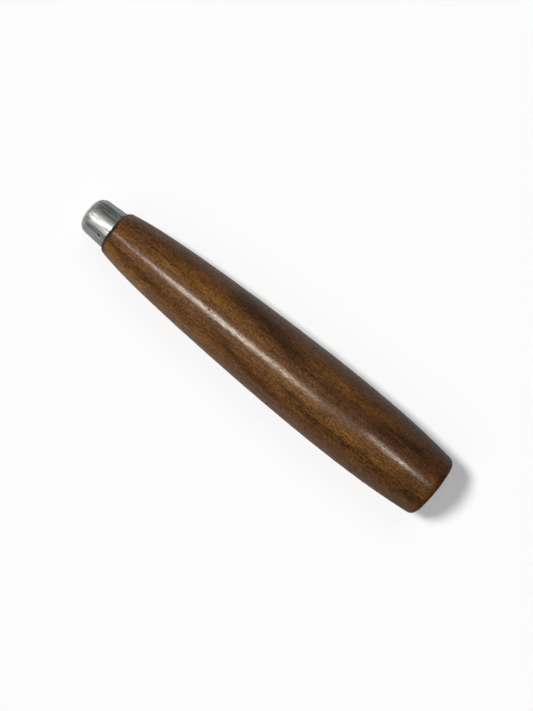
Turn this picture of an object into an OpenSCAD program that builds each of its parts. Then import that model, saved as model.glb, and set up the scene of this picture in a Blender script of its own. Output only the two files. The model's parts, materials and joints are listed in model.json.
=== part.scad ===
// Turned hardwood haft with a drawn cup ferrule, bored to take the tang of a blade or an awl.
// The haft lies along X and +X leaves the ferrule's mouth.
// The origin is the centre of the tang bore's mouth, on the end grain of the tenon.

/* [Haft] */
// Length of the bare wood, from the shoulder behind the ferrule to the butt
haft_length = 122.4; // [95:0.1:140]
// Diameter of the belly, where the haft is thickest
belly_dia = 24.4; // [22:0.1:28]
// Distance from the shoulder back to the belly
belly_back = 82; // [60:1:90]
// Diameter that the long front taper runs down to at the shoulder
nose_dia = 14.2; // [14.1:0.1:16]
// Diameter that the wood runs down to at the butt
butt_dia = 20.1; // [18:0.1:22]
// Radius of the rounded edge of the shoulder, which leaves a small groove behind the ferrule
shoulder_round = 1.6; // [0.3:0.1:1.6]
// Radius of the rounded edge of the butt
butt_round = 2.4; // [0.5:0.1:3]
// Height of the slight dome turned on the butt
butt_dome = 0.4; // [0.2:0.1:0.8]

/* [Ferrule] */
// Length of the ferrule, from its front face to the shoulder
ferrule_length = 9.8; // [8:0.1:14]
// Outside diameter of its open back end
ferrule_back_dia = 12.7; // [12.4:0.1:12.8]
// Outside diameter that its taper runs down to at the front face
ferrule_front_dia = 11.5; // [11:0.1:12]
// Thickness of the metal
ferrule_wall = 0.8; // [0.7:0.1:1]
// Outside radius of the rounded front corner
ferrule_round = 3.1; // [1.2:0.1:3.2]
// Diameter of the hole punched in the front face
mouth_dia = 4.6; // [4.4:0.1:5]

/* [Tang bore] */
// Diameter of the hole drilled for the tang
tang_dia = 4; // [2.5:0.1:4.2]
// Depth of the hole's full diameter
tang_depth = 38; // [25:1:60]

/* [Stake marks] */
// Radius of the round nose of the punch
punch_radius = 0.9; // [0.6:0.1:1.2]
// Depth that the punch drives the metal in
punch_depth = 0.35; // [0.2:0.05:0.4]
// Distance of the marks in front of the shoulder
stake_ahead = 2.2; // [1.8:0.1:3]
// Angle of the first mark round the axis, from straight up towards +Y
stake_angle = 41; // [0:1:180]

/* [Hidden] */
$fn = 96;

shoulder_x = ferrule_wall - ferrule_length;
butt_x = shoulder_x - haft_length;
taper_share = 0.76;       // part of the front taper that is the long curve; the rest is the nose's roll
taper_power = 1.75;
roll_power = 10;
tail_power = 2.5;
tenon_chamfer = ferrule_round - ferrule_wall;
drill_point_angle = 59;   // half of a twist drill's 118 degree point
outline_steps = 44;
arc_steps = 8;
slope_step = 0.01;
cut = 1;                  // how far a cutting shape runs past the face that it opens

// Radius of the bare wood at a distance back from the shoulder: a long taper that rolls over at the
// nose, in front of the belly, and a shorter and fuller curve behind it.
function wood_radius(back) =
    back < belly_back
    ? let (ahead = 1 - back / belly_back, drop = (belly_dia - nose_dia) / 2)
      belly_dia / 2 - drop * (taper_share * pow(ahead, taper_power) + (1 - taper_share) * pow(ahead, roll_power))
    : let (behind = (back - belly_back) / (haft_length - belly_back), drop = (belly_dia - butt_dia) / 2)
      belly_dia / 2 - drop * pow(behind, tail_power);

// Angle at which the wood widens, going back.
function wood_slope(back) = atan((wood_radius(back + slope_step) - wood_radius(back)) / slope_step);

// Outside radius of the ferrule's taper at x, less a thickness measured square to the metal.
taper_angle = atan((ferrule_back_dia - ferrule_front_dia) / 2 / ferrule_length);
function taper_radius(x, inset) =
    ferrule_back_dia / 2 - (x - shoulder_x) * tan(taper_angle) - inset / cos(taper_angle);

// Points of an arc about [r, x], from one angle to another. Angle 0 points out and 90 points along +X.
function arc(r, x, radius, from, to) =
    [for (i = [0 : arc_steps]) let (t = from + (to - from) * i / arc_steps)
        [r + radius * cos(t), x + radius * sin(t)]];

// Shoulder edge: an arc from square to the axis round to the nose's own slope.
nose_slope = wood_slope(0);
edge_back = shoulder_round * (1 - sin(nose_slope));
function shoulder_edge() =
    arc(wood_radius(edge_back) - shoulder_round * cos(nose_slope), shoulder_x - shoulder_round,
        shoulder_round, 90, nose_slope);

// Butt: a rounded edge that runs on into a shallow dome, with no crease between them.
tail_slope = wood_slope(haft_length - slope_step);
butt_back = haft_length - butt_round * (1 + sin(tail_slope));
butt_edge_r = wood_radius(butt_back) - butt_round * cos(tail_slope);
dome_reach = (pow(butt_edge_r, 2) + pow(butt_dome, 2)) / (2 * butt_dome);
dome_angle = asin(butt_edge_r / dome_reach);
dome_radius = dome_reach + butt_round;
function butt_end() = concat(
    arc(butt_edge_r, butt_x + butt_round, butt_round, tail_slope, dome_angle - 90),
    arc(0, butt_x - butt_dome + dome_radius, dome_radius, dome_angle - 90, -90));

function barrel() =
    [for (i = [1 : outline_steps - 1]) let (back = edge_back + (butt_back - edge_back) * i / outline_steps)
        [wood_radius(back), shoulder_x - back]];

// Outline of the tenon, which fills the ferrule's taper and is chamfered clear of its rounded corner.
function tenon() = [
    [0, 0],
    [taper_radius(0, ferrule_wall) - tenon_chamfer, 0],
    [taper_radius(-tenon_chamfer, ferrule_wall), -tenon_chamfer],
    [taper_radius(shoulder_x, ferrule_wall), shoulder_x]];

// Turns an outline of [radius, x] points about the X axis.
module turned(outline) {
    rotate([0, 90, 0]) rotate_extrude() polygon(outline);
}

// Solid cup of the ferrule's taper. Inset 0 is its outside, and inset ferrule_wall is its cavity.
module cup(inset) {
    corner_x = ferrule_wall - ferrule_round;
    turned(concat(
        [[0, shoulder_x], [taper_radius(shoulder_x, inset), shoulder_x]],
        arc(taper_radius(corner_x, ferrule_round), corner_x, ferrule_round - inset, taper_angle, 90),
        [[0, ferrule_wall - inset]]));
}

// A ball centred where the punch's nose stops, at each of the two opposite stake marks.
module at_stakes(radius) {
    x = shoulder_x + stake_ahead;
    for (side = [0, 180])
        rotate([-stake_angle - side, 0, 0])
            translate([x, 0, taper_radius(x, punch_depth - punch_radius)]) sphere(radius);
}

// Hole of the given diameter along -X, open at x = 0, with a drill's point at its end.
module tang_bore() {
    rotate([0, -90, 0]) {
        translate([0, 0, -cut]) cylinder(d = tang_dia, h = tang_depth + cut);
        translate([0, 0, tang_depth]) cylinder(d1 = tang_dia, d2 = 0, h = tang_dia / 2 / tan(drill_point_angle));
    }
}

// Wood: tenon, shoulder and barrel in one piece, bored up the middle for the tang.
module handle() {
    color("#6b4426") difference() {
        turned(concat(tenon(), shoulder_edge(), barrel(), butt_end()));
        tang_bore();
        at_stakes(punch_radius + ferrule_wall);
    }
}

// Drawn metal cup, punched open at the front and staked into the tenon at two places.
module ferrule() {
    color("#b9bdb8") difference() {
        cup(0);
        difference() {
            cup(ferrule_wall);
            at_stakes(punch_radius + ferrule_wall);
        }
        rotate([0, 90, 0]) translate([0, 0, -cut]) cylinder(d = mouth_dia, h = ferrule_wall + 2 * cut);
        at_stakes(punch_radius);
    }
}

handle();
ferrule();
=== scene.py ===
"""Looks of a turned wooden haft with a drawn cup ferrule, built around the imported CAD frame.

Everything is in metres in the frame's own axes: the haft lies along X, +X leaves the ferrule's mouth,
and the floor touches the belly from below. A turn is an angle round the haft, from straight up
towards +Y. Outlines are lists of (x, radius) points.
"""

import json
import math

import bpy
import numpy as np
from mathutils import Matrix, Vector


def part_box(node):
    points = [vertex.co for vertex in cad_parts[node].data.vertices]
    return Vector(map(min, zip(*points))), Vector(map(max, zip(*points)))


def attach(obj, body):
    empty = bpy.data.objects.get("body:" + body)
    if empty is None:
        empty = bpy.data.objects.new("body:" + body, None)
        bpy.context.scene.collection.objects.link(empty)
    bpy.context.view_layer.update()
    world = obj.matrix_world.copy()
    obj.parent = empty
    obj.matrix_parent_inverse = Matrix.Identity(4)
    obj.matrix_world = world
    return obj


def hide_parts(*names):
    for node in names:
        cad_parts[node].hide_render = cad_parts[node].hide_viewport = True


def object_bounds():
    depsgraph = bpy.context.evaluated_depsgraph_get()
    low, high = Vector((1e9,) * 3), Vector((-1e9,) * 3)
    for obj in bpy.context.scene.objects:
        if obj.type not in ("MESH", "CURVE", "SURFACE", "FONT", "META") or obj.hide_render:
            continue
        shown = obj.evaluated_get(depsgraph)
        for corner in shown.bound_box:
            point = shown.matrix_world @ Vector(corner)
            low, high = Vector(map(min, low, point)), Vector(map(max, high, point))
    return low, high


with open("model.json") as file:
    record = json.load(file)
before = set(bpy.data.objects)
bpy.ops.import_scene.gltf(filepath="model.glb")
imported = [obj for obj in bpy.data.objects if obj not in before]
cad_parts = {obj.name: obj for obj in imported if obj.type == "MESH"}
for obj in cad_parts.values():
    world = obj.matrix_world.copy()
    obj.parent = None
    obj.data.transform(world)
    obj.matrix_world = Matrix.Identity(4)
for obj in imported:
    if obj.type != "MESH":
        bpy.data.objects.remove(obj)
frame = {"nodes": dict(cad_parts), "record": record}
cad_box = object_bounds()

MM = 0.001
FULL_TURN = 2 * math.pi
BODY = "root"
BORE = next(m for m in frame["record"]["mounts"] if m["name"] == "tang_bore")
BORE_RADIUS = BORE["dims"]["r_mm"] * MM
BORE_DEPTH = BORE["dims"]["length_mm"] * MM
SHOULDER_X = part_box("ferrule")[0].x
BUTT_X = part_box("handle")[0].x
BELLY_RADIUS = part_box("handle")[1].z
FLOOR_Z = cad_box[0].z


# ---------------------------------------------------------------- outlines from the frame

RING_COUNT = 80         # a ring between two turned faces has more vertices than this, and a stray one fewer
POINT_GAP = 0.002 * MM  # points closer than this are the same point
RING_GAP = 0.01 * MM    # rings closer than this are the same ring
CLEAR_GAP = 0.1 * MM    # rings further apart than this belong to different features


def rings(node):
    """The rings where a turned CAD node's faces meet, in order of x and then radius."""
    points = np.array([v.co for v in frame["nodes"][node].data.vertices])
    places = np.stack([points[:, 0], np.hypot(points[:, 1], points[:, 2])], axis=1)
    unique, counts = np.unique(np.round(places / POINT_GAP), axis=0, return_counts=True)
    full = unique[counts > RING_COUNT] * POINT_GAP
    apart = np.linalg.norm(np.diff(full, axis=0), axis=1) > RING_GAP
    return full[np.concatenate([[True], apart])]


def smooth_through(points, step):
    """Points about step apart on a smooth curve through the given points."""
    points = np.asarray(points)
    along = np.concatenate([[0], np.cumsum(np.linalg.norm(np.diff(points, axis=0), axis=1))])
    slope = np.gradient(points, along, axis=0)
    at = np.linspace(0, along[-1], max(2, math.ceil(along[-1] / step) + 1))
    i = np.clip(np.searchsorted(along, at, side="right") - 1, 0, len(along) - 2)
    span = (along[i + 1] - along[i])[:, None]
    u = (at - along[i])[:, None] / span
    return (
        (1 + 2 * u) * (1 - u) ** 2 * points[i]
        + u * (1 - u) ** 2 * span * slope[i]
        + u * u * (3 - 2 * u) * points[i + 1]
        + u * u * (u - 1) * span * slope[i + 1]
    )


def straight(start, end, step):
    """Points about step apart from start to end."""
    start, end = np.asarray(start), np.asarray(end)
    count = max(1, math.ceil(np.linalg.norm(end - start) / step))
    return start + (end - start) * np.linspace(0, 1, count + 1)[:, None]


def eased(corner, before, after, radius, steps=4):
    """An arc of about that radius in place of a corner, between the points before and after it."""
    corner, before, after = (np.asarray(p) for p in (corner, before, after))
    a = corner + (before - corner) / np.linalg.norm(before - corner) * radius
    b = corner + (after - corner) / np.linalg.norm(after - corner) * radius
    t = np.linspace(0, 1, steps + 1)[:, None]
    return (1 - t) ** 2 * a + 2 * t * (1 - t) * corner + t * t * b


def joined(*stretches):
    """One list of points from several, without the ones that repeat."""
    points = np.concatenate(stretches)
    apart = np.linalg.norm(np.diff(points, axis=0), axis=1) > POINT_GAP
    return points[np.concatenate([[True], apart])]


def outward(outline):
    """The outward normal at each point of an outline that has its solid on the right."""
    along = np.gradient(outline, axis=0)
    along /= np.linalg.norm(along, axis=1, keepdims=True)
    return np.stack([-along[:, 1], along[:, 0]], axis=1)


# ---------------------------------------------------------------- turned meshes

def turned(name, outline, segments, relief, attributes=None, ring=False):
    """A closed mesh of an outline turned about the X axis.

    relief(x, angle, radius) is how far each point stands out along the normal, and attributes are
    functions of the same kind, whose values the material reads. A ring's outline closes on itself.
    """
    x = np.repeat(outline[:, :1], segments, axis=1)
    radius = np.repeat(outline[:, 1:], segments, axis=1)
    angle = np.linspace(0, FULL_TURN, segments, endpoint=False)[None, :] + np.zeros_like(x)
    values = {key: at(x, angle, radius) for key, at in (attributes or {}).items()}
    normal = outward(outline)
    height = relief(x, angle, radius)
    x = x + height * normal[:, :1]
    radius = np.maximum(radius + height * normal[:, 1:], 0)
    points = np.stack([x, radius * np.sin(angle), radius * np.cos(angle)], axis=2)

    rows, index = len(outline), np.arange(x.size).reshape(x.shape)
    beside = np.roll(index, -1, axis=1)
    last = rows if ring else rows - 1
    following = np.roll(index, -1, axis=0)[:last]
    following_beside = np.roll(beside, -1, axis=0)[:last]
    quads = np.stack([index[:last], beside[:last], following_beside, following], axis=2)
    faces = quads.reshape(-1, 4).tolist()
    verts = points.reshape(-1, 3).tolist()
    if not ring:  # a fan to a point on the axis closes each end
        for row, forwards in ((0, False), (rows - 1, True)):
            verts.append((float(x[row].mean()), 0.0, 0.0))
            tip = len(verts) - 1
            for a, b in zip(index[row], beside[row]):
                faces.append((a, b, tip) if forwards else (b, a, tip))

    mesh = bpy.data.meshes.new(name)
    mesh.from_pydata(verts, [], faces)
    for key, value in values.items():
        flat = np.zeros(len(verts), np.float32)
        flat[: value.size] = value.ravel()
        mesh.attributes.new(key, "FLOAT", "POINT").data.foreach_set("value", flat)
    mesh.shade_smooth()
    mesh.validate()
    piece = bpy.data.objects.new(name, mesh)
    bpy.context.scene.collection.objects.link(piece)
    return piece


def ripple(rng, x, angle, count, amplitude, waves_along, waves_round):
    """A sum of random waves over the surface. waves_along is per metre, and waves_round per turn."""
    total = np.zeros_like(x)
    for _ in range(count):
        along = rng.uniform(-1, 1) * waves_along * FULL_TURN
        around = rng.integers(-waves_round, waves_round + 1)
        total += np.cos(along * x + around * angle + rng.uniform(0, FULL_TURN))
    return amplitude * total / math.sqrt(count)


def angle_from(turn, angle):
    """The angle less a turn in degrees, brought between -pi and pi."""
    return (angle - math.radians(turn) + math.pi) % FULL_TURN - math.pi


def dents(x, angle, radius, table):
    """How far soft hollows go in, from rows like those of KNOCKS."""
    total = np.zeros_like(x)
    for at, turn, length, width, depth in table:
        along = (x - at * MM) / (length * MM)
        around = angle_from(turn, angle) * radius / (width * MM)
        total += depth * MM * np.exp(-(along**2) - around**2)
    return total


# ---------------------------------------------------------------- the wood

WOOD_SEGMENTS = 320
BARREL_STEP = 0.7 * MM
BUTT_STEP = 0.25 * MM
SHOULDER_STEP = 0.14 * MM
BUTT_REACH = 5 * MM         # how far from the butt the finer steps go on
SHOULDER_REACH = 1.6 * MM   # and how far from the shoulder
TENON_CLEARANCE = 0.03 * MM
BOX_CLEARANCE = 0.005 * MM  # keeps the smooth barrel inside the facets of the CAD's
BESIDE_BORE = 1.1           # a ring this many bore radii out isn't the bore's
DRILL_POINT = 0.6           # depth of the drill's point in bore radii
TENON_EDGE = 0.1 * MM
MOUTH_EDGE = 0.08 * MM
SMOOTH_BUTT = 0.5           # the butt has no relief within this share of the belly's radius
RELIEF_RISE = 8             # how fast the relief sets in beyond it

# Knocks and a pinhole from use: place along X (mm), turn (degrees), half-length, half-width and depth (mm).
KNOCKS = (
    (-24, -18, 0.25, 0.22, 0.10),
    (-61, -30, 0.9, 0.5, 0.04),
    (-97, 52, 1.4, 0.5, 0.05),
    (-118, -64, 0.8, 0.8, 0.05),
    (-46, 118, 1.1, 0.7, 0.05),
    (-84, 205, 1.8, 0.6, 0.06),
    (-124, 160, 0.7, 0.9, 0.06),
    (-33, 260, 0.8, 0.5, 0.04),
)


def wood_outline():
    """From the middle of the butt round to the bottom of the tang bore, and where the bare wood ends."""
    every = rings("handle")
    tenon_radius = rings("ferrule")[0, 1]
    beside_bore = every[:, 1] > BESIDE_BORE * BORE_RADIUS
    behind_bore = every[:, 0] < -BORE_DEPTH - BORE_RADIUS
    bare = every[(every[:, 0] < SHOULDER_X + RING_GAP) & (behind_bore | beside_bore)]
    back = np.concatenate([[(BUTT_X, 0.0)], bare[bare[:, 0] < BUTT_X + BUTT_REACH]])
    nose = bare[(bare[:, 0] > SHOULDER_X - SHOULDER_REACH) & (bare[:, 1] > tenon_radius + CLEAR_GAP)]
    barrel = bare[(bare[:, 0] >= back[-1, 0]) & (bare[:, 0] <= nose[0, 0])]
    tenon = every[(every[:, 0] > SHOULDER_X + CLEAR_GAP) & beside_bore]
    tenon_back = (SHOULDER_X, tenon_radius - TENON_CLEARANCE)
    tenon_corner, face = tenon[0] - [0, TENON_CLEARANCE], tenon[-1]
    mouth, floor = (0.0, BORE_RADIUS), (-BORE_DEPTH, BORE_RADIUS)
    seen = joined(
        smooth_through(back, BUTT_STEP),
        smooth_through(barrel, BARREL_STEP),
        smooth_through(nose, SHOULDER_STEP),
    )
    hidden = joined(
        straight(nose[-1], tenon_back, step=0.4 * MM),
        straight(tenon_back, tenon_corner, step=2 * MM),
        straight(tenon_corner, face, step=1 * MM)[:-1],
        eased(face, tenon_corner, mouth, TENON_EDGE),
        eased(mouth, face, floor, MOUTH_EDGE),
        straight(floor, (-BORE_DEPTH - DRILL_POINT * BORE_RADIUS, 0.02 * MM), step=3 * MM),
    )
    return joined(seen, hidden)[1:], len(seen) - 1


def wood_piece():
    """The haft's wood: a slightly uneven hand-turned surface with a few knocks."""
    outline, seen = wood_outline()
    rng = np.random.default_rng(5)
    bare = (np.arange(len(outline)) < seen)[:, None] * 1.0

    def relief(x, angle, radius):
        side = np.clip((radius / BELLY_RADIUS - SMOOTH_BUTT) * RELIEF_RISE, 0, 1) * bare
        uneven = ripple(rng, x, angle, count=24, amplitude=0.010 * MM, waves_along=90, waves_round=9)
        uneven += ripple(rng, x, angle, count=60, amplitude=0.0035 * MM, waves_along=260, waves_round=60)
        return (uneven - uneven.max() - dents(x, angle, radius, KNOCKS) - BOX_CLEARANCE) * side

    return turned("wooden_haft", outline, WOOD_SEGMENTS, relief)


# ---------------------------------------------------------------- the ferrule

FERRULE_SEGMENTS = 360
OUTSIDE_STEP = 0.16 * MM
INSIDE_STEP = 0.4 * MM
EDGE_ROUND = 0.12 * MM
STAKE_AHEAD = 2.2 * MM
STAKE_TURN = 41
STAKE_RADIUS = 0.72 * MM
STAKE_DEPTH = 0.33 * MM
STAKE_INSIDE = 0.7   # how far the metal bulges inside, as a share of the mark's depth
# The raised rim of a stake mark: height as a share of its depth, and place and width in its radii.
RIM_HEIGHT, RIM_AT, RIM_WIDTH = 0.05, 1.15, 0.22
STAKE_FILL_SHARE = 2.4    # the dark brown fill covers the mark where this times its depth reaches 1
WALL_RISE = 2        # how fast the relief sets in as the metal turns from the front face to its side

# Dings in the metal, in rows like those of KNOCKS.
DINGS = (
    (-1.1, -31, 1.0, 0.35, 0.06),
    (-3.4, 74, 0.5, 0.4, 0.05),
    (-6.1, -84, 0.9, 0.3, 0.04),
    (-1.6, 152, 0.6, 0.5, 0.05),
    (-5.2, 201, 1.1, 0.3, 0.05),
)


def ferrule_outline():
    """Round the cup's wall: its outside from back to front, the punched mouth, and the inside again."""
    every = rings("ferrule")
    ahead = [every[every[:, 0] >= x - POINT_GAP / 2, 1].max() for x in every[:, 0]]
    is_outer = every[:, 1] > np.array(ahead) - POINT_GAP / 2
    outer, inner = every[is_outer], every[~is_outer]
    mouth_back, mouth_front = inner[inner[:, 1] < inner[:, 1].min() + RING_GAP]
    inner = inner[inner[:, 1] > mouth_back[1] + RING_GAP]
    back_out, face, back_in, inner_face = outer[0], outer[-1], inner[0], inner[-1]
    outside = np.concatenate([straight(back_out, outer[1], step=1 * MM)[1:], outer[2:]])
    return joined(
        eased(back_out, back_in, outer[1], EDGE_ROUND),
        smooth_through(outside, OUTSIDE_STEP),
        straight(face, mouth_front, OUTSIDE_STEP)[1:-1],
        eased(mouth_front, face, mouth_back, EDGE_ROUND),
        eased(mouth_back, mouth_front, inner_face, EDGE_ROUND),
        smooth_through(inner[1:][::-1], INSIDE_STEP),
        straight(inner[1], back_in, INSIDE_STEP)[1:-1],
        eased(back_in, inner[1], back_out, EDGE_ROUND),
    )


def stakes(x, angle, radius):
    """1 in the middle of each of the two opposite stake marks, and a little under 0 on its rim."""
    total = np.zeros_like(x)
    for side in (0, 180):
        around = angle_from(STAKE_TURN + side, angle) * radius
        away = np.hypot(x - SHOULDER_X - STAKE_AHEAD, around) / STAKE_RADIUS
        total += np.clip(1 - away**2, 0, None) - RIM_HEIGHT * np.exp(-(((away - RIM_AT) / RIM_WIDTH) ** 2))
    return total


def ferrule_piece():
    """The drawn cup, with its stake marks, eased edges, faint draw lines and a few small dings."""
    outline = ferrule_outline()
    rng = np.random.default_rng(3)

    # 1 where the stake marks are filled dark brown.
    def stake_fill(x, angle, radius):
        return np.clip(stakes(x, angle, radius) * STAKE_FILL_SHARE, 0, 1)

    def relief(x, angle, radius):
        facing = outward(outline)[:, 1:]
        wall_side = np.clip(facing * WALL_RISE, 0, 1)
        inner_side = np.clip(-facing * WALL_RISE, 0, 1)
        lines = ripple(rng, x, angle, count=40, amplitude=0.0035 * MM, waves_along=12, waves_round=60)
        lines += ripple(rng, x, angle, count=16, amplitude=0.010 * MM, waves_along=40, waves_round=9)
        push = STAKE_DEPTH * stakes(x, angle, radius)
        outside = lines - lines.max() - push - dents(x, angle, radius, DINGS)
        return outside * wall_side + STAKE_INSIDE * push * inner_side

    return turned("cup_ferrule", outline, FERRULE_SEGMENTS, relief, {"stake_fill": stake_fill}, ring=True)


# ---------------------------------------------------------------- node trees

class Nodes:
    """A node tree, with one short call for each kind of node that it needs."""

    def __init__(self, tree):
        self.tree = tree

    def node(self, kind, **settings):
        made = self.tree.nodes.new(kind)
        for key, value in settings.items():
            setattr(made, key, value)
        return made

    def put(self, socket, value):
        if isinstance(value, bpy.types.NodeSocket):
            self.tree.links.new(value, socket)
        else:
            socket.default_value = value

    def put_all(self, sockets, values):
        for socket, value in zip(sockets, values):
            self.put(socket, value)

    def maths(self, operation, *values, clamp=False):
        made = self.node("ShaderNodeMath", operation=operation, use_clamp=clamp)
        self.put_all(made.inputs, values)
        return made.outputs[0]

    def vector_maths(self, operation, *values, output="Vector"):
        made = self.node("ShaderNodeVectorMath", operation=operation)
        self.put_all(made.inputs, values)
        return made.outputs[output]

    def place(self, kind="Object"):
        return self.node("ShaderNodeTexCoord").outputs[kind]

    def split(self, vector):
        """The X, Y and Z of a vector."""
        made = self.node("ShaderNodeSeparateXYZ")
        self.put(made.inputs[0], vector)
        return made.outputs[:]

    def scaled(self, vector, along, across, shift):
        """The vector times along on X and across on Y and Z, moved by shift."""
        made = self.node("ShaderNodeMapping")
        self.put(made.inputs["Vector"], vector)
        made.inputs["Scale"].default_value = (along, across, across)
        made.inputs["Location"].default_value = shift
        return made.outputs["Vector"]

    def noise(self, vector, along, across, shift, detail, roughness, output="Fac"):
        """Noise with along cells per metre on X, and across cells per metre on Y and Z."""
        made = self.node("ShaderNodeTexNoise")
        self.put(made.inputs["Vector"], self.scaled(vector, along, across, shift))
        made.inputs["Scale"].default_value = 1.0
        made.inputs["Detail"].default_value = detail
        made.inputs["Roughness"].default_value = roughness
        return made.outputs[output]

    def cells(self, vector, along, across, shift):
        """Distance from the middle of the nearest of scattered cells, in cells."""
        made = self.node("ShaderNodeTexVoronoi", feature="F1")
        self.put(made.inputs["Vector"], self.scaled(vector, along, across, shift))
        made.inputs["Scale"].default_value = 1.0
        return made.outputs["Distance"]

    def spread(self, value, low, high, to_low=0.0, to_high=1.0):
        """value from low to high, eased on to to_low to to_high."""
        made = self.node("ShaderNodeMapRange", interpolation_type="SMOOTHSTEP")
        sockets = [made.inputs[key] for key in ("Value", "From Min", "From Max", "To Min", "To Max")]
        self.put_all(sockets, (value, low, high, to_low, to_high))
        return made.outputs["Result"]

    def bell(self, value, centre, half_width):
        """1 where value is at centre, falling off either side of it."""
        off = self.maths("DIVIDE", self.maths("SUBTRACT", value, centre), half_width)
        return self.maths("EXPONENT", self.maths("MULTIPLY", self.maths("MULTIPLY", off, off), -1.0))

    def mix(self, share, a, b, blend="MIX"):
        made = self.node("ShaderNodeMix", data_type="RGBA", blend_type=blend)
        self.put(made.inputs[0], share)
        self.put(made.inputs[6], a)
        self.put(made.inputs[7], b)
        return made.outputs[2]

    def curve(self, value, points):
        """A smooth curve through (in, out) points, from 0 to 1 both ways."""
        made = self.node("ShaderNodeFloatCurve")
        self.put(made.inputs["Value"], value)
        line = made.mapping.curves[0]
        line.points[0].location, line.points[1].location = points[:2]
        for x, y in points[2:]:
            line.points.new(x, y)
        made.mapping.update()
        return made.outputs[0]

    def bump(self, height, distance):
        made = self.node("ShaderNodeBump")
        self.put(made.inputs["Height"], height)
        made.inputs["Distance"].default_value = distance
        made.inputs["Strength"].default_value = 1.0
        return made.outputs["Normal"]


class Shader(Nodes):
    """A material with one Principled surface."""

    def __init__(self, name):
        self.material = bpy.data.materials.new(name)
        self.material.use_nodes = True
        super().__init__(self.material.node_tree)
        self.tree.nodes.clear()
        self.surface = self.node("ShaderNodeBsdfPrincipled")
        output = self.node("ShaderNodeOutputMaterial")
        self.tree.links.new(self.surface.outputs["BSDF"], output.inputs["Surface"])

    def set(self, **values):
        """Sets or links the surface's sockets. Coat_Weight is the one called Coat Weight."""
        for key, value in values.items():
            self.put(self.surface.inputs[key.replace("_", " ")], value)

    def end_on(self):
        """1 on faces square to the haft's axis, falling to 0 on its sides."""
        across = self.maths("ABSOLUTE", self.split(self.place("Normal"))[0])
        return self.spread(across, 0.6, 0.9)


# ---------------------------------------------------------------- the wood's material

# The wood's figure, as streaks that run along the grain. Each has a tone, a half-width (mm), and points
# of place along X (mm), place across the rings (mm) and strength. The streaks are sheets through the
# wood, so they come out on the underside and the end grain too.
STREAKS = (
    ("dark", 2.6, ((-42, -9.2, 0.0), (-53, -8.3, 0.9), (-64, -7.0, 1.5), (-73, -4.8, 1.3), (-84, -2.6, 0.5),
                   (-98, -2.2, 0.45), (-108, -3.0, 0.95), (-117, -4.6, 1.0), (-131, -5.4, 0.5))),
    ("dark", 0.8, ((-10, 2.6, 0.8), (-24, 4.6, 0.9), (-38, 5.6, 0.5), (-52, 6.6, 0.0))),
    ("dark", 0.9, ((-42, 2.6, 0.0), (-50, 4.0, 0.6), (-60, 6.2, 0.85), (-72, 7.4, 0.8), (-90, 8.6, 0.3))),
    ("dark", 1.1, ((-70, 3.6, 0.0), (-80, 4.9, 0.6), (-92, 5.9, 0.8), (-110, 6.1, 0.7), (-131, 5.5, 0.5))),
    ("pores", 1.1, ((-72, 4.2, 0.0), (-84, 5.4, 0.8), (-96, 6.2, 1.0), (-112, 6.2, 1.0), (-131, 5.2, 1.0))),
    ("dark", 0.6, ((-14, -4.2, 0.2), (-24, -3.6, 0.7), (-34, -2.9, 0.5), (-44, -2.2, 0.0))),
    ("dark", 1.8, ((0, -6.0, 0.5), (-20, -7.4, 0.5), (-40, -8.6, 0.3), (-60, -10.6, 0.2))),
    ("gold", 1.5, ((-16, -1.6, 0.2), (-32, -2.3, 0.9), (-50, -3.0, 1.0), (-66, -1.4, 0.4), (-80, 0.6, 0.2))),
    ("gold", 1.6, ((-8, 4.8, 0.7), (-22, 6.8, 0.9), (-36, 8.2, 0.5), (-50, 9.0, 0.3))),
    ("gold", 1.7, ((-64, 1.8, 0.2), (-76, 2.8, 0.8), (-94, 4.2, 1.0), (-112, 4.2, 0.7), (-128, 3.0, 0.1))),
    ("gold", 1.4, ((-76, -6.8, 0.3), (-92, -6.6, 0.8), (-104, -7.0, 0.4), (-128, -8.6, 0.1))),
)
RING_TILT = 0.22      # how far the rings lean from upright, as a slope
RING_REACH = 14 * MM  # the streaks' places across the rings lie within this of the axis
TILT_ABOUT = 0.8      # height at which the rings' places are true, in belly radii
WANDER = (4 * MM, 2.6 * MM, 2.6 * MM)   # how far the grain wanders from its place
PITH_Y, PITH_Z = -34 * MM, -7.5 * MM    # middle of the growth rings, which is outside the haft
PINHOLE = (-47 * MM, 0.6 * MM, 10.9 * MM)
PINHOLE_CORE, PINHOLE_EDGE = 0.15 * MM, 0.45 * MM
# Where the painted shade in the corner behind the ferrule begins, and where it reaches its darkest.
CREVICE_START, CREVICE_END = SHOULDER_X - 1.5 * MM, SHOULDER_X - 0.4 * MM

# Noises: cells per metre along and across the grain, shift, detail and roughness.
WANDER_NOISE = (28, 120, (0, 0, 0), 3.0, 0.5)
FIBRE = (150, 1500, (0, 0, 0), 4.0, 0.68)
COARSE = (45, 1300, (3, 1, 5), 3.0, 0.6)
MOTTLE = (170, 330, (9, 2, 4), 3.0, 0.6)
SPECKLE = (1300, 2400, (5, 5, 2), 2.0, 0.6)
BROAD = (22, 130, (1, 7, 2), 2.0, 0.5)
RINGS = (620, 12, (0, 0, 0), 3.0, 0.7)
RAYS = (150, 1800, (5, 2, 1), 2.0, 0.5)
FINE = (1100, 2300, (7, 3, 3), 1.0, 0.5)
WAVES = (500, 1500, (1, 3, 8), 2.0, 0.5)
# Scattered cells: cells per metre along and across the grain, and shift.
PORE_CELLS = (330, 1500, (2, 8, 1))
OPEN_PORE_CELLS = (480, 950, (4, 1, 7))

RED_BROWN = (0.098, 0.038, 0.0095, 1)
GOLD_BROWN = (0.150, 0.063, 0.0095, 1)
DARK_BROWN = (0.030, 0.0115, 0.0045, 1)
# Dark brown of the pores and the pinhole, and also of the painted shade in the corner behind the ferrule.
PORE_AND_SHADE_BROWN = (0.014, 0.006, 0.003, 1)

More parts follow.
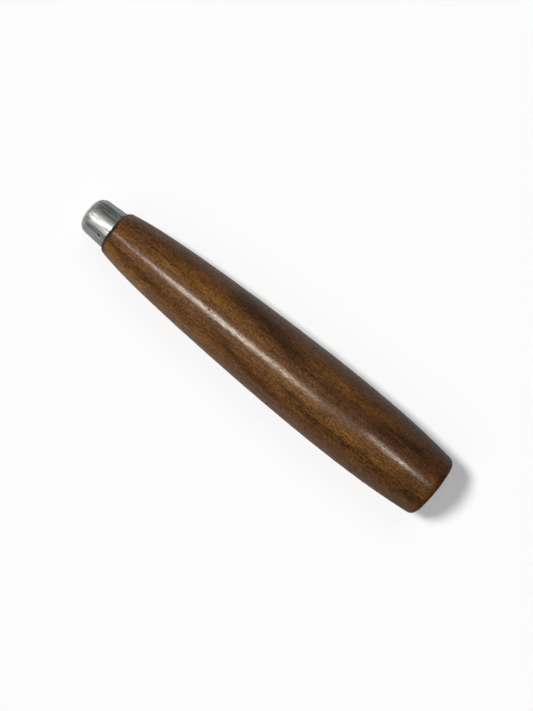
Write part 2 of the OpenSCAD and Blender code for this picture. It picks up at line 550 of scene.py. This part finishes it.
WOOD_ROUGHNESS = 0.5
WOOD_SPECULAR = 0.1
COAT_ROUGHNESS = 0.21
WOOD_BUMP = 0.04 * MM
COAT_BUMP = 0.03 * MM


def wandering(s, place):
    """The place pushed about by slow noise, because the grain wanders a little."""
    push = s.vector_maths("SUBTRACT", s.noise(place, *WANDER_NOISE, output="Color"), (0.5, 0.5, 0.5))
    return s.vector_maths("MULTIPLY_ADD", push, WANDER, place)


def streaks(s, x, across):
    """How much of each tone the streaks give, at a place along X and across the rings."""
    along = s.maths("DIVIDE", x, BUTT_X, clamp=True)
    share = {"dark": 0.0, "gold": 0.0, "pores": 0.0}
    for tone, half_width, points in STREAKS:
        spots = [(at * MM / BUTT_X, 0.5 + side * MM / (2 * RING_REACH), k) for at, side, k in points]
        if spots[0][0] > 0:
            spots.insert(0, (0.0, *spots[0][1:]))
        if spots[-1][0] < 1:
            spots.append((1.0, *spots[-1][1:]))
        centre = s.curve(along, [(min(u, 1.0), v) for u, v, _ in spots])
        centre = s.maths("MULTIPLY", s.maths("SUBTRACT", centre, 0.5), 2 * RING_REACH)
        strength = s.curve(along, [(min(u, 1.0), k) for u, _, k in spots])
        bell = s.bell(across, centre, half_width * MM)
        share[tone] = s.maths("ADD", share[tone], s.maths("MULTIPLY", bell, strength))
    return share


def end_grain(s, y, z):
    """What the tone is multiplied by: growth rings and fine rays on the butt, and 1 on the sides."""
    off = (s.maths("SUBTRACT", y, PITH_Y), s.maths("SUBTRACT", z, PITH_Z))
    reach = s.maths("SQRT", s.maths("ADD", *(s.maths("MULTIPLY", side, side) for side in off)))
    polar = s.node("ShaderNodeCombineXYZ")
    s.put(polar.inputs["X"], reach)
    s.put(polar.inputs["Y"], s.maths("MULTIPLY", s.maths("ARCTAN2", off[1], off[0]), -PITH_Y))
    ring = s.spread(s.noise(polar.outputs[0], *RINGS), 0.3, 0.7, 0.45, 1.9)
    ray = s.spread(s.noise(polar.outputs[0], *RAYS), 0.3, 0.7, 0.8, 1.2)
    grain = s.maths("SUBTRACT", s.maths("MULTIPLY", ring, ray), 1.0)
    return s.maths("MULTIPLY_ADD", s.end_on(), grain, 1.0)


def wood_pores(s, place, wander, mottle, share):
    """1 in the closed and open pores and in the pinhole, and 0 on the wood between them."""
    closed = s.spread(s.cells(wander, *PORE_CELLS), 0.12, 0.26, 1.0, 0.0)
    rows = s.maths("ADD", share, s.spread(mottle, 0.35, 0.6, 0.35, 0.9), clamp=True)
    closed = s.maths("MULTIPLY", closed, rows)
    opened = s.spread(s.cells(wander, *OPEN_PORE_CELLS), 0.16, 0.34, 0.95, 0.0)
    groups = s.maths("ADD", share, s.spread(mottle, 0.5, 0.7, 0.0, 0.6), clamp=True)
    opened = s.maths("MULTIPLY", opened, groups)
    away = s.vector_maths("DISTANCE", place, PINHOLE, output="Value")
    pinhole = s.spread(away, PINHOLE_CORE, PINHOLE_EDGE, 1.0, 0.0)
    return s.maths("MAXIMUM", s.maths("MAXIMUM", closed, opened), pinhole)


def wood_material():
    """Figured dark hardwood under a thin satin finish."""
    s = Shader("oiled_wood")
    place = s.place()
    wander = wandering(s, place)
    x, y, z = s.split(wander)
    across = s.maths("ADD", y, s.maths("MULTIPLY", z, RING_TILT))
    across = s.maths("SUBTRACT", across, RING_TILT * TILT_ABOUT * BELLY_RADIUS)
    share = streaks(s, x, across)

    coarse = s.noise(wander, *COARSE)
    mottle = s.noise(place, *MOTTLE)
    gold = s.maths("MULTIPLY", share["gold"], s.spread(mottle, 0.25, 0.7, 0.35, 1.0), clamp=True)
    gold = s.maths("ADD", gold, s.spread(s.noise(place, *BROAD), 0.42, 0.75, 0.0, 0.35), clamp=True)
    gold = s.maths("MULTIPLY", gold, s.spread(x, BUTT_X, 0.8 * BUTT_X, 0.3, 1.0))
    dark = s.maths("MULTIPLY", share["dark"], s.spread(coarse, 0.3, 0.62, 0.55, 1.0), clamp=True)
    dark = s.maths("ADD", dark, s.spread(coarse, 0.5, 0.78, 0.0, 0.35), clamp=True)
    colour = s.mix(gold, RED_BROWN, GOLD_BROWN)
    colour = s.mix(s.maths("MULTIPLY", dark, 0.85), colour, DARK_BROWN)

    tone = s.spread(s.noise(wander, *FIBRE), 0.3, 0.7, 0.74, 1.26)
    tone = s.maths("MULTIPLY", tone, s.spread(mottle, 0.2, 0.8, 0.84, 1.16))
    tone = s.maths("MULTIPLY", tone, s.spread(s.noise(place, *SPECKLE), 0.3, 0.7, 0.52, 1.48))
    tone = s.maths("MULTIPLY", tone, s.spread(x, BUTT_X, 0.35 * BUTT_X, 0.8, 1.0))
    tone = s.maths("MULTIPLY", tone, end_grain(s, y, z))
    grey = s.node("ShaderNodeCombineColor")
    s.put_all(grey.inputs, (tone, tone, tone))
    colour = s.mix(1.0, colour, grey.outputs[0], blend="MULTIPLY")

    pores = wood_pores(s, place, wander, mottle, share["pores"])
    colour = s.mix(pores, colour, PORE_AND_SHADE_BROWN)
    # Painted shade: the wood is darkened in the corner behind the ferrule, where the joint lies in shadow.
    crevice_shade = s.spread(x, CREVICE_START, CREVICE_END, 0.0, 0.9)
    colour = s.mix(crevice_shade, colour, PORE_AND_SHADE_BROWN)

    # The finish is thinner in spots, and there is none in the pores or under the painted shade at the
    # crevice.
    finished = s.maths("SUBTRACT", 1.0, s.maths("MAXIMUM", pores, crevice_shade), clamp=True)
    fine = s.noise(wander, *FINE)
    film = s.maths("MULTIPLY", s.spread(fine, 0.4, 0.6, 0.5, 1.0), finished)
    waves = s.noise(wander, *WAVES)
    height = s.maths("ADD", s.maths("MULTIPLY", fine, 0.6), s.maths("MULTIPLY", waves, 0.3))
    height = s.maths("SUBTRACT", height, s.maths("MULTIPLY", pores, 0.25))
    s.set(Base_Color=colour, Roughness=WOOD_ROUGHNESS, Specular_IOR_Level=WOOD_SPECULAR)
    s.set(Coat_Weight=film, Coat_Roughness=COAT_ROUGHNESS)
    s.set(Normal=s.bump(height, WOOD_BUMP), Coat_Normal=s.bump(height, COAT_BUMP))
    return s.material


# ---------------------------------------------------------------- the metal's material

# Drawn scratches that run the ferrule's length. Those from -46 to -15 degrees, on top, also paint in the
# dark band where the metal mirrors the dim room, a painted reflection: turn and half-width in degrees, and
# how dark.
SCRATCHES_AND_DARK_BANDS = (
    (-71, 2.0, 0.3), (-46, 3.4, 1.6), (-33, 5.0, 0.4), (-22, 2.0, 0.45), (-15, 1.5, 0.4), (33, 4.0, 0.3),
    (60, 3.0, 0.3), (96, 4.0, 0.5), (131, 2.0, 0.8), (178, 5.0, 0.5), (224, 2.0, 0.7), (263, 3.5, 0.5),
)
# Noises, as for the wood.
DRAW_LINES = (40, 1900, (0, 0, 0), 4.0, 0.7)
DRAW_BANDS = (55, 1500, (2, 6, 1), 2.0, 0.6)
RUBBED = (90, 900, (8, 1, 3), 2.0, 0.5)
PATCHES = (260, 260, (4, 4, 4), 3.0, 0.5)

BRIGHT_METAL = (0.80, 0.825, 0.80, 1)
DULL_METAL = (0.68, 0.71, 0.69, 1)
DARK_METAL = (0.22, 0.245, 0.245, 1)
# Dark brown that fills the stake marks.
STAKE_FILL = (0.05, 0.04, 0.034, 1)
STAKE_FILL_OVER_METAL = 0.8   # how far the dark brown fill in the stake marks hides that it is metal
STAKE_FILL_ROUGHNESS = 0.3    # and how much rougher it is
FACE_CLEAR = 0.7         # share of the dark lines that the front face, which was pressed flat, hasn't got
METAL_BUMP = 0.03 * MM
ANISOTROPIC = 0.5


def metal_material():
    """Drawn and plated steel: draw lines along the axis, dark lines on top that are partly painted
    reflection of the dim room, a dull film, and a dark brown fill in the stake marks.
    """
    s = Shader("plated_metal")
    place = s.place()
    lines = s.noise(place, *DRAW_LINES)
    bands = s.noise(place, *DRAW_BANDS)
    rubbed = s.noise(place, *RUBBED)
    patches = s.noise(place, *PATCHES)
    _, y, z = s.split(place)
    turn = s.maths("DEGREES", s.maths("ARCTAN2", y, z))
    turn = s.maths("ADD", turn, s.spread(rubbed, 0.3, 0.7, -1.0, 1.0))
    dark = 0.0
    # Dark lines along the metal: drawn scratches, and on top also painted reflection of the dim room.
    for at, half_width, strength in SCRATCHES_AND_DARK_BANDS:
        off = s.maths("WRAP", s.maths("SUBTRACT", turn, at), 180.0, -180.0)
        dark = s.maths("ADD", dark, s.maths("MULTIPLY", s.bell(off, 0.0, half_width), strength))
    dark = s.maths("MULTIPLY", dark, s.spread(patches, 0.3, 0.6, 0.7, 1.0))
    dark = s.maths("ADD", dark, s.spread(bands, 0.44, 0.62, 0.0, 0.65))
    dark = s.maths("ADD", dark, s.spread(lines, 0.5, 0.65, 0.0, 0.4), clamp=True)
    dark = s.maths("MULTIPLY", dark, s.maths("SUBTRACT", 1.0, s.maths("MULTIPLY", s.end_on(), FACE_CLEAR)))
    colour = s.mix(s.spread(patches, 0.3, 0.75), BRIGHT_METAL, DULL_METAL)
    colour = s.mix(dark, colour, DARK_METAL)
    # The stake marks are filled dark brown, duller and less metallic.
    stake_fill = s.node("ShaderNodeAttribute", attribute_name="stake_fill").outputs["Fac"]
    metallic = s.maths("SUBTRACT", 1.0, s.maths("MULTIPLY", stake_fill, STAKE_FILL_OVER_METAL))
    rough = s.maths("ADD", s.spread(rubbed, 0.3, 0.7, 0.37, 0.46), s.spread(lines, 0.3, 0.7, -0.05, 0.05))
    rough = s.maths("ADD", rough, s.maths("MULTIPLY", stake_fill, STAKE_FILL_ROUGHNESS))
    around = s.node("ShaderNodeTangent", direction_type="RADIAL", axis="X").outputs[0]
    s.set(Base_Color=s.mix(stake_fill, colour, STAKE_FILL), Metallic=metallic, Roughness=rough)
    s.set(Anisotropic=ANISOTROPIC, Tangent=around)
    s.set(Normal=s.bump(s.maths("ADD", lines, bands), METAL_BUMP))
    return s.material


# ---------------------------------------------------------------- floor, light and camera

FLOOR_HALF = 4.0
PAPER = 0.8        # how much of the light the paper gives back
BACKDROP = 0.95    # brightness of what the camera sees past the paper
# The mirrored room's brightness by height: 0 is straight down, 0.5 level and 1 straight up.
ROOM = ((0.0, 0.39), (0.46, 0.39), (0.52, 0.10), (0.7, 0.11), (1.0, 0.11))
# That is multiplied by this much in the middle, and this much more towards +X and towards +Y.
ROOM_MIDDLE, ROOM_ALONG_X, ROOM_ALONG_Y = 0.72, 0.75, -0.05

# Name, direction towards it, how bright it makes white paper, its width (degrees) and whether it casts
# shadows.
SUNS = (
    ("key", (0.473, 0.088, 0.89), 0.555, 11.5, True),
    ("fill", (0.25, 0.6, 0.76), 0.30, 30, False),
    ("fill_back", (0.1, -0.5, 0.86), 0.12, 30, False),
)

WHITE = (1, 1, 1)
WARM = (1.0, 0.95, 0.86)  # the lamps that make most of the highlight on the wood
# Name, place, target, (length along X, width), power in watts and colour.
STRIPS = (
    ("strip_front", (0.09, 0.15, 0.8), (0.09, 0.15, 0), (0.25, 0.13), 2.74, WARM),
    ("strip_middle", (0.315, 0.15, 0.8), (0.315, 0.15, 0), (0.19, 0.08), 0.5, WHITE),
    ("strip_end", (0.69, 0.12, 0.58), (-0.01, 0, 0), (0.75, 0.09), 1.5, WHITE),
    ("strip_back", (-0.29, -0.014, 0.8), (-0.29, -0.014, 0), (0.08, 0.12), 0.94, WARM),
)

CAMERA_PLACE = (-0.0849, -0.0001, 0.380)
CAMERA_TARGET = (-0.0679, 0.0004, 0.0)
CAMERA_ROLL = 141.01  # degrees from the picture's right, towards its top, to where the haft's +X points
LENS_MM = 64.5
SENSOR_MM = 36


def floor():
    """A wide sheet of pale paper under the belly."""
    mesh = bpy.data.meshes.new("floor")
    corners = [(x * FLOOR_HALF, y * FLOOR_HALF, 0) for x, y in ((-1, -1), (1, -1), (1, 1), (-1, 1))]
    mesh.from_pydata(corners, [], [(0, 1, 2, 3)])
    sheet = bpy.data.objects.new("floor", mesh)
    sheet.location.z = FLOOR_Z
    sheet.visible_glossy = False  # the metal and the finish mirror the grey room and not the white sheet
    bpy.context.scene.collection.objects.link(sheet)
    s = Shader("pale_paper")
    s.set(Base_Color=(PAPER, PAPER, PAPER, 1), Roughness=0.9, Specular_IOR_Level=0.0)
    mesh.materials.append(s.material)


def aimed(name, data, at, target, up=None):
    """An object that points its -Z from at to target, with its Y towards up if that is given."""
    made = bpy.data.objects.new(name, data)
    made.location = at
    made.rotation_mode = "QUATERNION"
    look = (Vector(target) - Vector(at)).normalized()
    if up is None:
        made.rotation_quaternion = look.to_track_quat("-Z", "Y")
    else:
        right = look.cross(up).normalized()
        basis = Matrix((right, right.cross(look), -look)).transposed()
        made.rotation_quaternion = basis.to_quaternion()
    bpy.context.scene.collection.objects.link(made)
    return made


def sun(name, toward, brightness, width, shadow):
    """A sun that lights the paper and the colours. The metal and the finish don't mirror it."""
    data = bpy.data.lights.new(name, "SUN")
    steepness = toward[2] / Vector(toward).length
    data.energy = brightness * math.pi / (PAPER * steepness)
    data.angle = math.radians(width)
    data.use_shadow = shadow
    made = aimed(name, data, toward, (0, 0, 0))
    made.visible_glossy = False
    made.visible_camera = False


def strip(name, at, target, size, power, colour):
    """A strip lamp that is only seen mirrored."""
    data = bpy.data.lights.new(name, "AREA")
    data.color = colour
    data.shape = "RECTANGLE"
    data.size, data.size_y = size
    data.energy = power
    made = aimed(name, data, at, target, up=Vector((0, 1, 0)))
    made.visible_diffuse = False
    made.visible_camera = False


def room():
    """A dim room that is only seen mirrored, and the pale backdrop that the camera sees instead."""
    world = bpy.data.worlds.new("room")
    world.use_nodes = True
    world.cycles_visibility.diffuse = False
    bpy.context.scene.world = world
    n = Nodes(world.node_tree)
    x, y, z = n.split(n.place("Generated"))
    by_height = n.curve(n.maths("MULTIPLY_ADD", z, 0.5, 0.5), ROOM)
    sideways = n.maths("MULTIPLY_ADD", x, ROOM_ALONG_X, ROOM_MIDDLE)
    sideways = n.maths("MULTIPLY_ADD", y, ROOM_ALONG_Y, sideways)
    mirrored = n.maths("MULTIPLY", by_height, sideways)
    seen = n.node("ShaderNodeLightPath").outputs["Is Camera Ray"]
    backdrop = n.maths("MULTIPLY", seen, BACKDROP)
    background = n.tree.nodes["Background"]
    background.inputs["Color"].default_value = (1, 1, 1, 1)
    n.put(background.inputs["Strength"], n.maths("MAXIMUM", mirrored, backdrop))


def camera():
    """Looks down from above the belly, turned so that the haft lies corner to corner."""
    data = bpy.data.cameras.new("camera")
    data.lens = LENS_MM
    data.sensor_width = SENSOR_MM
    roll = math.radians(CAMERA_ROLL)
    up = Vector((math.sin(roll), math.cos(roll), 0))
    bpy.context.scene.camera = aimed("camera", data, CAMERA_PLACE, CAMERA_TARGET, up)


# ---------------------------------------------------------------- putting it together

camera()
floor()
for lamp in SUNS:
    sun(*lamp)
for lamp in STRIPS:
    strip(*lamp)
room()

wood = wood_piece()
wood.data.materials.append(wood_material())
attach(wood, BODY)
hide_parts("handle")

cup = ferrule_piece()
cup.data.materials.append(metal_material())
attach(cup, BODY)
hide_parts("ferrule")

bpy.context.scene.view_settings.view_transform = "Standard"
